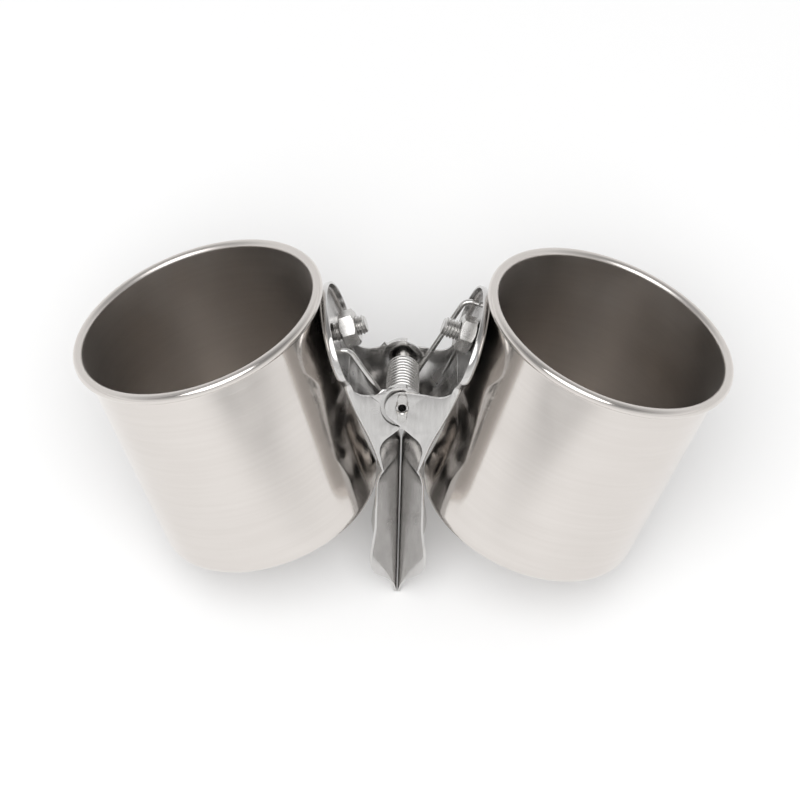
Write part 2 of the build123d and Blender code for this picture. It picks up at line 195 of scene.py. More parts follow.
# %% Hand a piece to the frame
def place(name, mesh, body, slot, *nodes, mirrored=False, sharp=40.0):
    """The finished object for a mesh drawn upright in millimetres."""
    mesh.transform(CLIP @ MIRROR if mirrored else CLIP)
    tidy = bmesh.new()
    tidy.from_mesh(mesh)
    bmesh.ops.remove_doubles(tidy, verts=tidy.verts, dist=1e-6)
    bmesh.ops.recalc_face_normals(tidy, faces=tidy.faces)
    tidy.to_mesh(mesh)
    tidy.free()
    mesh.shade_smooth()
    mesh.set_sharp_from_angle(angle=math.radians(sharp))
    piece = linked(name, mesh)
    if body:
        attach(piece, body)
    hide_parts(*nodes)
    print(f"{name}: {len(mesh.polygons)} faces, {slot}")
    return piece


# %% [markdown]
# ## Metal
# Every piece is bare steel, so the finish does the telling apart. The cups and the stamped clip are
# polished to a mirror, with faint lines left by the wheel. The spring is drawn wire, a little duller
# along its length, and the bolts and nuts are cut and tumbled, so they are the roughest. A tree of
# noise makes each finish: large soft patches where hands have dulled it, and fine lines in the tint
# and the bump. On a cup the lines run round it and the inside is left satin, so its tree reads how
# far along the cup's section a point lies.


# %% Steel finishes
INSIDE_FROM, TURNING_LINES = 0.586, 420.0
LINE_SHARE = 0.7


def steel(name, bright, dull, roughness, patch_scale, line_scale, line_height, satin_inside=0.0):
    """Polished steel with duller patches and fine polishing lines, and perhaps a satin inside."""
    smooth, rubbed = roughness
    material = bpy.data.materials.new(name)
    tree = blank_tree(material)
    spot = add(tree, "ShaderNodeTexCoord").outputs["Object"]
    patches = add(tree, "ShaderNodeTexNoise", {"Vector": spot, "Scale": patch_scale, "Detail": 1.0})
    patch = patches.outputs[0]
    wear = {"Value": patch, "From Min": 0.25, "From Max": 0.75, "To Min": smooth, "To Max": rubbed}
    rough = add(tree, "ShaderNodeMapRange", wear).outputs[0]
    stretched = add(tree, "ShaderNodeMapping", {"Vector": spot, "Scale": line_scale}).outputs[0]
    if satin_inside:
        along = add(tree, "ShaderNodeAttribute", attribute_name="along").outputs["Fac"]
        inside = calc(tree, "MULTIPLY", calc(tree, "GREATER_THAN", along, INSIDE_FROM), satin_inside)
        rough = calc(tree, "ADD", rough, inside)
        flat = add(tree, "ShaderNodeSeparateXYZ", {0: stretched}).outputs
        rings = calc(tree, "MULTIPLY", along, TURNING_LINES)
        stretched = add(tree, "ShaderNodeCombineXYZ", {0: flat[0], 1: flat[1], 2: rings}).outputs[0]
    lines = add(tree, "ShaderNodeTexNoise", {"Vector": stretched, "Scale": 1.0, "Detail": 3.0})
    soft = calc(tree, "MULTIPLY", patch, 1 - LINE_SHARE)
    share = calc(tree, "MULTIPLY_ADD", lines.outputs[0], LINE_SHARE, soft)
    streak = add(tree, "ShaderNodeMapRange", {"Value": share, "From Min": 0.3, "From Max": 0.7})
    tones = {"Factor": streak.outputs[0], "A": bright, "B": dull}
    tint = add(tree, "ShaderNodeMix", tones, data_type="RGBA")
    height = {"Strength": 0.6, "Distance": line_height, "Height": lines.outputs[0]}
    shader = add(
        tree,
        "ShaderNodeBsdfPrincipled",
        {
            "Base Color": output(tint, "Result"),
            "Metallic": 1.0,
            "Roughness": rough,
            "Normal": add(tree, "ShaderNodeBump", height).outputs[0],
        },
    )
    add(tree, "ShaderNodeOutputMaterial", {"Surface": shader.outputs[0]})
    return material


CUP_STEEL = steel(
    "cup_steel", (0.672, 0.638, 0.609, 1), (0.638, 0.603, 0.573, 1), roughness=(0.08, 0.17),
    patch_scale=60.0, line_scale=(30, 30, 30), line_height=9e-6, satin_inside=0.2,
)
CLIP_STEEL = steel(
    "clip_steel", (0.61, 0.60, 0.59, 1), (0.53, 0.52, 0.51, 1), roughness=(0.11, 0.28),
    patch_scale=140.0, line_scale=(1100, 160, 200), line_height=7e-6,
)
WIRE_STEEL = steel(
    "wire_steel", (0.64, 0.63, 0.615, 1), (0.54, 0.53, 0.515, 1), roughness=(0.16, 0.30),
    patch_scale=220.0, line_scale=(500, 3000, 500), line_height=2e-6,
)
BOLT_STEEL = steel(
    "bolt_steel", (0.62, 0.61, 0.595, 1), (0.52, 0.51, 0.495, 1), roughness=(0.18, 0.34),
    patch_scale=260.0, line_scale=(1500, 1500, 1500), line_height=2e-6,
)
print("finishes:", ", ".join(m.name for m in (CUP_STEEL, CLIP_STEEL, WIRE_STEEL, BOLT_STEEL)))

# %% [markdown]
# ## Cups
# A cup is spun or drawn from one disc of sheet: a flat base, a round corner, a wall that widens a
# little, and a rim rolled outwards into a bead so that it has no sharp edge. Everything about it is
# in half of its section, so a tree turns that section into the whole cup. It lays out a grid, reads
# the section along one side of it and the angle along the other, and welds the seam. Before the grid
# is bent, each point stores how far along the section it lies, for the finish to read.


# %% Turning tree
def arc(centre, radius, start, end, steps):
    """Points on an arc in the plane of a section, angles in radians."""
    return [
        (centre[0] + radius * math.cos(a), 0, centre[1] + radius * math.sin(a))
        for a in np.linspace(start, end, steps + 1)
    ]


def round_z(tree, reach, angle, height):
    """The place at a reach and an angle round Z."""
    x = calc(tree, "MULTIPLY", reach, calc(tree, "COSINE", angle))
    y = calc(tree, "MULTIPLY", reach, calc(tree, "SINE", angle))
    return add(tree, "ShaderNodeCombineXYZ", {0: x, 1: y, 2: height}).outputs[0]


def turning_tree():
    """Turns a row of points round Z into a closed shell."""
    tree, given = new_tree("turned", Steps=192, Material=None)
    count = add(tree, "GeometryNodeAttributeDomainSize", {"Geometry": given["Geometry"]})
    rows, columns = count.outputs["Point Count"], calc(tree, "ADD", given["Steps"], 1)
    last_row = calc(tree, "SUBTRACT", rows, 1)
    size = {"Size X": 1.0, "Size Y": 1.0, "Vertices X": columns, "Vertices Y": rows}
    grid = add(tree, "GeometryNodeMeshGrid", size)
    here = add(tree, "GeometryNodeInputPosition").outputs[0]
    flat = add(tree, "ShaderNodeSeparateXYZ", {0: here})
    angle = calc(tree, "MULTIPLY", calc(tree, "ADD", flat.outputs[0], 0.5), 2 * math.pi)
    share = calc(tree, "ADD", flat.outputs[1], 0.5)
    row = calc(tree, "MULTIPLY", share, last_row)
    read = add(
        tree,
        "GeometryNodeSampleIndex",
        {"Geometry": given["Geometry"], "Value": here, "Index": calc(tree, "ROUND", row)},
        data_type="FLOAT_VECTOR",
    )
    profile = add(tree, "ShaderNodeSeparateXYZ", {0: output(read, "Value")})
    reach, height = profile.outputs[0], profile.outputs[2]
    turned = round_z(tree, reach, angle, height)
    marked = add(
        tree,
        "GeometryNodeStoreNamedAttribute",
        {"Geometry": grid.outputs["Mesh"], "Name": "along", "Value": share},
        data_type="FLOAT",
        domain="POINT",
    )
    spots = {"Geometry": marked.outputs[0], "Position": turned}
    moved = add(tree, "GeometryNodeSetPosition", spots)
    welded = add(tree, "GeometryNodeMergeByDistance", {"Geometry": moved.outputs[0], "Distance": 0.002})
    end_tree(tree, welded.outputs[0], given["Material"])
    return tree


TURNED = turning_tree()
print("turning tree:", len(TURNED.nodes), "nodes")

# %% [markdown]
# Half of the cup's section starts at the middle of the base, goes up the outside and round the bead,
# and comes back down the inside. The rim is a hundredth of a millimetre smaller than the solid's, so
# that the finer mesh keeps inside its box.


# %% Section of a cup
RIM_RADIUS, BEAD_RADIUS, BEAD_CURL = 39.99, 1.6, 290.0
CUP_HEIGHT, CUP_WALL, CUP_BASE_RADIUS, CUP_CORNER_RADIUS = 75.5, 0.7, 35.2, 4.5
WALL_STEPS, CORNER_STEPS, CURL_STEPS, BEAD_STEPS = 21, 14, 20, 36

BEAD_Z = CUP_HEIGHT - BEAD_RADIUS
CUP_TOP_RADIUS = RIM_RADIUS - 2 * BEAD_RADIUS + CUP_WALL
TAPER = math.atan2(CUP_TOP_RADIUS - CUP_BASE_RADIUS, BEAD_Z)
CORNER_CENTRE = CUP_BASE_RADIUS - CUP_CORNER_RADIUS / math.tan(math.pi / 4 + TAPER / 2)


def wall(start, end):
    """Points on the straight wall from start to end of it, without its ends."""
    shares = np.linspace(0, 1, WALL_STEPS + 1)[1:-1]
    return [tuple(a + (b - a) * share for a, b in zip(start, end)) for share in shares]


corner = (CORNER_CENTRE, CUP_CORNER_RADIUS)
bead = (RIM_RADIUS - BEAD_RADIUS, BEAD_Z)
curl_end = math.pi - math.radians(BEAD_CURL)
base_radii = np.linspace(4, CORNER_CENTRE - 0.5, 8)
outer = [(0, 0, 0)] + [(r, 0, 0) for r in base_radii]
outer += arc(corner, CUP_CORNER_RADIUS, -math.pi / 2, -TAPER, CORNER_STEPS)
outer += wall(outer[-1], (CUP_TOP_RADIUS, 0, BEAD_Z))
outer += arc(bead, BEAD_RADIUS - CUP_WALL, math.pi, curl_end, CURL_STEPS)
inner = arc(bead, BEAD_RADIUS, curl_end, math.pi, BEAD_STEPS)
inner_corner = arc(corner, CUP_CORNER_RADIUS - CUP_WALL, -TAPER, -math.pi / 2, CORNER_STEPS)
inner += wall(inner[-1], inner_corner[0]) + inner_corner
inner += [(r, 0, CUP_WALL) for r in base_radii[::-1]] + [(0, 0, CUP_WALL)]
cup_section = outer + inner
top_row = len(outer) + CURL_STEPS
print(f"inside of the cup from {top_row / (len(cup_section) - 1):.3f} of its section")

# %% [markdown]
# The cup's wall lies against the top of the handle and swings forward a little round its bolt, which
# is how the pair came to lean on the table. The left cup is the mirror image of the right one.

# %% Both cups
CUP_LEAN, CUP_SWING = math.radians(18.4), math.radians(7.0)
CUP_TOUCH_Z, CUP_TOUCH_SETBACK, CUP_STEPS = 69.5, 1.2, 192

touch = KNEE + HANDLE_UP * (HANDLE_RISE - CUP_TOUCH_SETBACK) + HANDLE_OUT * SEAT_GAP
touch_radius = CUP_BASE_RADIUS + CUP_TOUCH_Z * math.tan(TAPER)
leaned = Matrix.Translation(touch) @ Matrix.Rotation(CUP_LEAN, 4, "Y")
leaned = leaned @ Matrix.Translation((touch_radius, 0, -CUP_TOUCH_Z))
pin_side = Vector((0, 1, 0))
bolt_turn = Matrix((pin_side, pin_side.cross(HANDLE_OUT), -HANDLE_OUT)).transposed().to_4x4()
bolt_axis = Matrix.Translation(BOLT_SEAT) @ bolt_turn
CUP_PLACE = bolt_axis @ Matrix.Rotation(-CUP_SWING, 4, "Z") @ bolt_axis.inverted() @ leaned
SIDES = ((LEFT, True), (RIGHT, False))
for side, mirrored in SIDES:
    mesh = grow(TURNED, points_mesh("cup_section", cup_section), Steps=CUP_STEPS, Material=CUP_STEEL)
    mesh.transform(CUP_PLACE)
    node = side.replace("side", "cup")
    place(node + "_shell", mesh, side, "cup", node, mirrored=mirrored)

# %% [markdown]
# ## Levers
# Each half of the clip is stamped from one sheet, 0.8 mm thick: an oval handle with its rim turned
# in, two side flanges with ears for the pin, a dished web, and a long tongue, folded to a V, that
# ends in a point. Only the outer face is drawn here, patch by patch, with a real bend between them. A
# Solidify modifier then gives the sheet its thickness and a Bevel breaks the sheared edges.


# %% Patches of sheet
RIDGE_ROUND, WELD, SLIVER = 2.5, 0.01, 0.005
CUT_EDGE_ANGLE = math.radians(50)


def skin(name, grids, outlines, outward):
    """One face of the sheet, from grids of points and from flat plates inside closed loops."""
    sheet = bmesh.new()
    for grid in grids:
        rows = [[sheet.verts.new(p) for p in row] for row in grid]
        for low, high in zip(rows, rows[1:]):
            for i in range(len(low) - 1):
                sheet.faces.new((low[i], low[i + 1], high[i + 1], high[i]))
    for loops in outlines:
        edges = []
        for loop in loops:
            corners = [sheet.verts.new(p) for p in loop]
            edges += [sheet.edges.new((corners[i - 1], corners[i])) for i in range(len(corners))]
        bmesh.ops.triangle_fill(sheet, use_beauty=True, edges=edges)
    bmesh.ops.remove_doubles(sheet, verts=sheet.verts, dist=WELD)
    bmesh.ops.dissolve_degenerate(sheet, edges=sheet.edges, dist=SLIVER)
    bmesh.ops.recalc_face_normals(sheet, faces=sheet.faces)
    mesh = bpy.data.meshes.new(name)
    sheet.to_mesh(mesh)
    if sum(f.normal.dot(outward) * f.calc_area() for f in sheet.faces) < 0:
        mesh.flip_normals()
    sheet.free()
    return mesh


def thickened(mesh, thickness, edge):
    """The sheet with its thickness laid inwards and its cut edges broken."""
    shape = linked("sheet", mesh)
    solid = shape.modifiers.new("thickness", "SOLIDIFY")
    solid.thickness, solid.offset, solid.use_even_offset = thickness, -1.0, True
    broken = shape.modifiers.new("edges", "BEVEL")
    broken.width, broken.segments, broken.limit_method = edge, 2, "ANGLE"
    broken.angle_limit, broken.use_clamp_overlap = CUT_EDGE_ANGLE, False
    return baked(shape)


def smooth_step(t):
    """From 0 to 1, setting off and arriving level."""
    t = min(1.0, max(0.0, t))
    return t * t * (3 - 2 * t)


def through(table, t):
    """A smooth value between the pairs of a table."""
    xs, ys = np.array(table, float).T
    slopes = np.gradient(ys, xs)
    i = int(np.clip(np.searchsorted(xs, t) - 1, 0, len(xs) - 2))
    span = xs[i + 1] - xs[i]
    u = (t - xs[i]) / span
    ahead = ys[i] + slopes[i] * span * u
    back = ys[i + 1] - slopes[i + 1] * span * (1 - u)
    ease = smooth_step(u)
    return float(ahead * (1 - ease) + back * ease)


def section(y, edge_x, ridge_x, half_width, fold):
    """Outer face of a level cut at y: an arc through edges and ridge, or, with fold 1, a rounded V."""
    sag = edge_x - ridge_x
    radius = (half_width**2 + sag**2) / (2 * sag)
    arc_x = radius - math.sqrt(radius**2 - y**2)
    fold_span = math.hypot(half_width, RIDGE_ROUND) - RIDGE_ROUND
    fold_x = sag * (math.hypot(y, RIDGE_ROUND) - RIDGE_ROUND) / fold_span
    return ridge_x + arc_x * (1 - fold) + fold_x * fold


# %% [markdown]
# The handle is an oval in its own tilted plane. Round its rim the sheet turns through a quarter
# circle and runs a little way inwards, which makes it stiff and kind to the fingers.

# %% Handle
HANDLE_CENTRE_RISE, HANDLE_RIM, HANDLE_BEND = 11.0, 2.8, 1.6
COLUMNS, BEND_STEPS, FOOT_BLEND = 72, 6, 8.0

HALF_HEIGHT = HANDLE_RISE - HANDLE_CENTRE_RISE
HALF_WIDTH = FLANGE_Y / math.sqrt(1 - (HANDLE_CENTRE_RISE / HALF_HEIGHT) ** 2)


def on_handle(y, rise, depth):
    """A point across, up and behind the handle's outer face."""
    return KNEE + Vector((0, y, 0)) + HANDLE_UP * rise - HANDLE_OUT * depth


def handle_outline():
    """The oval's outline, drawn in to meet the flanges smoothly at its foot, and its outward way."""
    foot = math.asin(HANDLE_CENTRE_RISE / HALF_HEIGHT)
    line = []
    for a in np.linspace(math.pi + foot, -foot, COLUMNS + 1):
        y, rise = HALF_WIDTH * math.cos(a), HANDLE_CENTRE_RISE + HALF_HEIGHT * math.sin(a)
        if rise < HANDLE_CENTRE_RISE:
            y = math.copysign(FLANGE_Y + (abs(y) - FLANGE_Y) * smooth_step(rise / FOOT_BLEND), y)
        line.append(Vector((y, rise)))
    ways = [Vector((-1, 0))]
    for before, after in zip(line, line[2:]):
        along = (after - before).normalized()
        ways.append(Vector((-along.y, along.x)))
    return list(zip(line, ways + [Vector((1, 0))]))


def handle_patches():
    """The bent rim as a grid, and the flat plate inside it as a loop."""
    bend = [[] for _ in range(BEND_STEPS + 2)]
    plate_edge = []
    for point, out in handle_outline():
        for j, turn in enumerate(np.linspace(0, math.pi / 2, BEND_STEPS + 1)):
            inset = point - out * HANDLE_BEND * (1 - math.sin(turn))
            bend[j].append(on_handle(inset.x, inset.y, HANDLE_BEND * (1 - math.cos(turn))))
        bend[-1].append(on_handle(point.x, point.y, HANDLE_RIM))
        plate_edge.append(point - out * HANDLE_BEND)
    half = FLANGE_Y - HANDLE_BEND
    foot = [Vector((half - 2 * half * k / COLUMNS, 0)) for k in range(1, COLUMNS)]
    return bend, [on_handle(p.x, p.y, 0) for p in plate_edge + foot]


print(f"handle {2 * HALF_WIDTH:.1f} mm wide, {HANDLE_RISE} mm above the knee")

# %% [markdown]
# Below the knee the web is dished inwards, more and more, until the two levers almost touch down the
# middle. A level cut of it is flat at the knee and turns into a rounded V at the neck, and a bend
# that tightens downwards joins it to the flat flanges.

# %% Web
NECK_X, NECK_Z, NECK_BEND = 6.1, -22.5, 0.7
RIDGE_GAP = 0.3
RIDGE_X = RIDGE_GAP / 2 + SHEET
LEAST_DISH = 0.002
WEB_DISH = ((0, LEAST_DISH), (0.3, 0.08), (0.6, 0.62), (0.82, 0.95), (1, 1))
WEB_ROWS, HALVINGS, NUDGE = 30, 40, 1e-3


def web_row(down):
    """One level of the web: the bend at the front flange, and the face from front to back."""
    z = KNEE_Z + (NECK_Z - KNEE_Z) * down
    edge_x = KNEE_X + (NECK_X - KNEE_X) * down
    ridge_x = edge_x + (RIDGE_X - edge_x) * max(LEAST_DISH, through(WEB_DISH, down))
    bend = HANDLE_BEND + (NECK_BEND - HANDLE_BEND) * down
    fold = smooth_step(down)

    def face(y):
        return section(y, edge_x, ridge_x, FLANGE_Y, fold)

    low, high = -FLANGE_Y, 0.0
    for _ in range(HALVINGS):
        y = (low + high) / 2
        slope = (face(y + NUDGE) - face(y - NUDGE)) / (2 * NUDGE)
        inward = Vector((-1, slope)).normalized()
        if y + bend * inward.y < bend - FLANGE_Y:
            low = y
        else:
            high = y
    bend_x, bend_y = face(y) + bend * inward.x, bend - FLANGE_Y
    turns = np.linspace(math.atan2(-inward.y, -inward.x), -math.pi / 2, BEND_STEPS + 1)
    front = [Vector((bend_x + bend * math.cos(t), bend_y + bend * math.sin(t), z)) for t in turns]
    if down == 0:
        turns = np.linspace(0, math.pi / 2, BEND_STEPS + 1)
        front = [on_handle(bend_y - bend * math.sin(t), 0, bend * (1 - math.cos(t))) for t in turns]
    level = [Vector((face(s), s, z)) for s in np.linspace(y, -y, COLUMNS + 1)]
    return front, level


web_rows = [web_row(down) for down in np.linspace(0, 1, WEB_ROWS + 1)]
for name, (front, _) in (("knee", web_rows[0]), ("neck", web_rows[-1])):
    print("web meets the flange at the", name, tuple(round(v, 2) for v in front[-1]))

# %% [markdown]
# The jaw carries the V on below the neck as a long tongue. Its edges flare outwards, and its outline
# ends in round shoulders and a small point, the end that is pushed over a bar or an edge.


# %% Jaw
JAW_HALF_WIDTH = 12.0
JAW_FLARE_X, JAW_FLARE_Z, JAW_END_X, JAW_END_Z = 7.6, -30.5, 8.9, -57.0
JAW_POINT = (
    (12.0, -55.0),
    (11.7, -58.5),
    (10.5, -61.8),
    (8.4, -64.4),
    (5.9, -66.8),
    (3.2, -70.0),
    (1.2, -73.6),
    (0.0, -75.8),
)
FLARE_ROWS, STRAIGHT_ROWS, POINT_ROWS = 8, 13, 32


def jaw_row(z, edge_x, half_width, reach):
    """One level of the jaw, out to reach on both sides."""
    across = np.linspace(-reach, reach, COLUMNS + 1)
    return [Vector((section(y, edge_x, RIDGE_X, half_width, 1.0), y, z)) for y in across]


def jaw_patch():
    """The jaw from the neck to its point: flare, straight run and pointed end."""
    rows = [web_rows[-1][1]]
    first_half = abs(rows[0][0].y)
    for share in np.linspace(0, 1, FLARE_ROWS + 1)[1:-1]:
        ease = share * (2 - share)
        z = NECK_Z + (JAW_FLARE_Z - NECK_Z) * share
        half = FLANGE_Y + (JAW_HALF_WIDTH - FLANGE_Y) * ease
        edge_x = NECK_X + (JAW_FLARE_X - NECK_X) * ease
        rows.append(jaw_row(z, edge_x, half, first_half + (JAW_HALF_WIDTH - first_half) * ease))
    middle_z = (JAW_FLARE_Z + JAW_END_Z) / 2
    levels = np.linspace(JAW_FLARE_Z, JAW_POINT[0][1], STRAIGHT_ROWS + 1)[:-1]
    outline = [(JAW_HALF_WIDTH, z) for z in levels]
    point_reach = [(i, reach) for i, (reach, _) in enumerate(JAW_POINT)]
    point_z = [(i, z) for i, (_, z) in enumerate(JAW_POINT)]
    steps = np.linspace(0, len(JAW_POINT) - 1, POINT_ROWS + 1)
    outline += [(through(point_reach, s), through(point_z, s)) for s in steps]
    for reach, z in outline:
        spread = smooth_step((middle_z - z) / (middle_z - JAW_END_Z))
        edge_x = JAW_FLARE_X + (JAW_END_X - JAW_FLARE_X) * spread
        rows.append(jaw_row(z, edge_x, JAW_HALF_WIDTH, max(reach, 0.0)))
    return rows


print(f"jaw {NECK_Z - JAW_POINT[-1][1]:.1f} mm long below the neck")

# %% [markdown]
# The flanges are flat, so a closed loop of points round each is enough. The right lever's ears lie
# flush. The left lever's ears are pressed in by one sheet, in a round pocket, so that they pass
# behind the others and both pairs of flanges end up level.


# %% Flanges
DIP_X, DIP_Z, DIP_DEPTH, DIP_END = 13.0, 3.6, 0.8, 0.45
EAR_RADIUS, EAR_CLEARANCE = 5.2, 0.2
POCKET_RADIUS, POCKET_TOP_END, POCKET_LOW_END = 6.6, 1.0, -0.6
APEX_Z, SHOULDER, ARCH_SIDE = -6.9, (4.4, -10.8), (6.5, -15.8)
PIN_RADIUS, PIN_HOLE_GAP = 1.9, 0.1
EAR_STEPS, BOW_STEPS, DIP_STEPS, POCKET_STEPS = 40, 8, 10, 14
NECK_INSET, SUNK_SIDE_X = 0.05, -0.2


def circle(radius, start=0.0, end=360.0, steps=48):
    """Points on an arc round the pin, angles in degrees."""
    angles = np.radians(np.linspace(start, end, steps + 1))
    return [Vector((radius * math.cos(a), radius * math.sin(a))) for a in angles]


def flange_edge():
    """The flange's free edge from rim to neck, in three runs: dip, ear and arch."""
    rim_end = KNEE - HANDLE_OUT * HANDLE_RIM
    dip_way, dip_reach = math.atan2(DIP_Z, DIP_X), math.hypot(DIP_X, DIP_Z)
    ear_top = math.degrees(dip_way + math.acos(EAR_RADIUS / dip_reach))
    ear_low = 270 - math.degrees(math.acos(EAR_RADIUS / -APEX_Z))
    shoulder, side = Vector(SHOULDER), Vector(ARCH_SIDE)
    way = (shoulder - Vector((0, APEX_Z))).normalized()
    chord = side - shoulder
    square = Vector((-way.y, way.x))
    radius = chord.length_squared / (2 * chord.dot(square))
    middle = shoulder + square * radius
    first = math.atan2(*(shoulder - middle).yx)
    last = math.atan2(*(side - middle).yx)
    angles = np.linspace(first, last, BOW_STEPS + 1)
    bow = [middle + abs(radius) * Vector((math.cos(a), math.sin(a))) for a in angles]
    ear = circle(EAR_RADIUS, ear_top, ear_low, EAR_STEPS)
    start, low = Vector((rim_end.x, rim_end.z)), Vector((DIP_X, DIP_Z))
    turn, end = low - HANDLE_UP.xz * DIP_DEPTH, low.lerp(ear[0], DIP_END)
    shares = np.linspace(0, 1, DIP_STEPS + 1)
    dip = [start.lerp(turn, s).lerp(turn.lerp(end, s), s) for s in shares]
    return dip, ear, [Vector((0, APEX_Z))] + bow


def bend_line():
    """Where the web's bend meets the flange, from knee to neck."""
    return [Vector((front[-1].x, front[-1].z)) for front, _ in web_rows]


def lift(loop, y):
    """A flat loop set at a distance from the middle of the pin."""
    return [Vector((p.x, y, p.y)) for p in loop]


def neck_end():
    """The inner corner of the flange at the neck."""
    return [Vector((min(NECK_X - SHEET, bend_line()[-1].x - NECK_INSET), NECK_Z))]


def pin_hole(y):
    """The hole for the pin."""
    return lift(circle(PIN_RADIUS + PIN_HOLE_GAP)[:-1], y)


def plain_flange():
    """Outline with a hole for the pin, at the outside of the front flange."""
    dip, ear, arch = flange_edge()
    loop = dip + ear + arch + neck_end() + bend_line()[::-1]
    return [], [[lift(loop, -FLANGE_Y), pin_hole(-FLANGE_Y)]]


def pocket_flange():
    """Plate, round pocket wall and sunk ear of the left lever's front flange."""
    dip, ear, arch = flange_edge()
    floor_y = -FLANGE_Y + SHEET + EAR_CLEARANCE
    way = (ear[0] - dip[-1]).normalized()
    top = ear[0] - way * math.sqrt(POCKET_RADIUS**2 - EAR_RADIUS**2)
    top_angle = math.degrees(math.atan2(top.y, top.x))
    over_angle = math.degrees(math.acos(-POCKET_TOP_END / POCKET_RADIUS))
    low_angle = -math.degrees(math.acos(-POCKET_LOW_END / POCKET_RADIUS))
    slope = (SHOULDER[1] - APEX_Z) / SHOULDER[0]
    low = Vector((-POCKET_LOW_END, APEX_Z - POCKET_LOW_END * slope))
    met = circle(POCKET_RADIUS, top_angle, low_angle, EAR_STEPS)
    above = circle(POCKET_RADIUS, over_angle, top_angle, POCKET_STEPS)
    plate = dip + met + [low] + arch[1:] + neck_end() + bend_line()[::-1]
    step = above + met[1:]
    sunk = [p for p in ear if p.x < SUNK_SIDE_X and p.y < 0]
    sunk_ear = step + sunk[::-1] + circle(POCKET_RADIUS, 180, over_angle, POCKET_STEPS)[:-1]
    pocket_wall = [lift(step, -FLANGE_Y), lift(step, floor_y)]
    return [pocket_wall], [[lift(plate, -FLANGE_Y)], [lift(sunk_ear, floor_y), pin_hole(floor_y)]]


print("points along a flange's dip, ear and arch:", *(len(run) for run in flange_edge()))

# %% [markdown]
# Now the patches come together. The back of a lever repeats its front, so those patches are mirrored
# before everything is welded into one skin.


# %% Both levers
SHEARED_EDGE = 0.12


def lever_mesh(name, flange):
    """One lever as a closed sheet, with the flange that it is given."""
    handle_bend, handle_plate = handle_patches()
    grids = [handle_bend, [level for _, level in web_rows], jaw_patch()]
    fronts, plates = flange()
    fronts = fronts + [[front for front, _ in web_rows]]
    flip = Matrix.Scale(-1, 3, (0, 1, 0))
    grids += fronts + [[[flip @ p for p in row] for row in grid] for grid in fronts]
    plates = plates + [[[flip @ p for p in loop] for loop in loops] for loops in plates]
    outer_face = skin(name, grids, plates + [[handle_plate]], HANDLE_OUT)
    made = thickened(outer_face, SHEET, SHEARED_EDGE)
    made.materials.append(CLIP_STEEL)
    return made


left_sheet = lever_mesh("left_sheet", pocket_flange)
right_sheet = lever_mesh("right_sheet", plain_flange)
place("left_lever_sheet", left_sheet, LEFT, "clip", "left_lever", mirrored=True)
place("right_lever_sheet", right_sheet, RIGHT, "clip", "right_lever")

# %% [markdown]
# ## Spring
# One length of hard wire is wound round the pin in close turns, and its two ends run out to the
# inner faces of the handles and press them apart. The line of the wire follows a rule, so it is
# worked out point by point. A tree then lays a round section along it and closes the ends.

# %% Line of the wire
WIRE_RADIUS, COIL_RADIUS, COIL_START_Y, COIL_LENGTH = 0.85, 4.25, -11.0, 20.6
COIL_TURNS, COIL_STEP = 11, math.radians(9)
LEFT_LEG_ANGLE, RIGHT_LEG_ANGLE, LEG_BEND_RADIUS, LEG_END_GAP = 57.0, 59.8, 3.0, 0.35
LEG_STEPS, LEG_BEND_STEPS = 6, 8

total = 2 * math.pi * COIL_TURNS + math.radians(LEFT_LEG_ANGLE + RIGHT_LEG_ANGLE)
rise = COIL_LENGTH / total


def coil_point(turned):
    """A point on the coil and the way the wire runs there."""
    angle = math.radians(270 - LEFT_LEG_ANGLE) + turned
    x, z = COIL_RADIUS * math.cos(angle), COIL_RADIUS * math.sin(angle)
    return Vector((x, COIL_START_Y + rise * turned, z)), Vector((-z, rise, x)).normalized()


def leg(start, way, out):
    """From the coil straight up, round a bend, and square onto the inside of a handle."""
    knee = Vector((math.copysign(KNEE_X, out.x), 0, KNEE_Z))
    clear = (knee - start).dot(out) - SHEET - LEG_END_GAP
    tip = 2 * WIRE_RADIUS
    turn = way.angle(out)
    bend = LEG_BEND_RADIUS * math.tan(turn / 2)
    slope = way.dot(out)
    bend_start = start + way * ((clear - tip - bend * (1 + slope)) / slope)
    inward = (out - way * slope).normalized()
    centre = bend_start + inward * LEG_BEND_RADIUS
    points = [start.lerp(bend_start, s) for s in np.linspace(0, 1, LEG_STEPS + 1)[1:]]
    for a in np.linspace(0, turn, LEG_BEND_STEPS + 1)[1:]:
        points.append(centre + LEG_BEND_RADIUS * (way * math.sin(a) - inward * math.cos(a)))
    return points + [points[-1] + out * tip * s for s in (0.5, 1.0)]


first, first_way = coil_point(0)
last, last_way = coil_point(total)
left_leg = leg(first, -first_way, Vector((-HANDLE_OUT.x, 0, HANDLE_OUT.z)))
right_leg = leg(last, last_way, HANDLE_OUT)
coil = [coil_point(t)[0] for t in np.linspace(0, total, int(total / COIL_STEP) + 1)]
wire_line = left_leg[::-1] + coil + right_leg
print(f"wire: {len(wire_line)} points, pitch {rise * 2 * math.pi:.2f} for wire of {2 * WIRE_RADIUS} mm")

# %% [markdown]
# The line is only a row of points. Made into a curve, it carries a small ring along, and the ring
# sweeps out the wire. Eighteen sides are enough for so thin a wire.


# %% Wire tree
WIRE_SIDES = 18


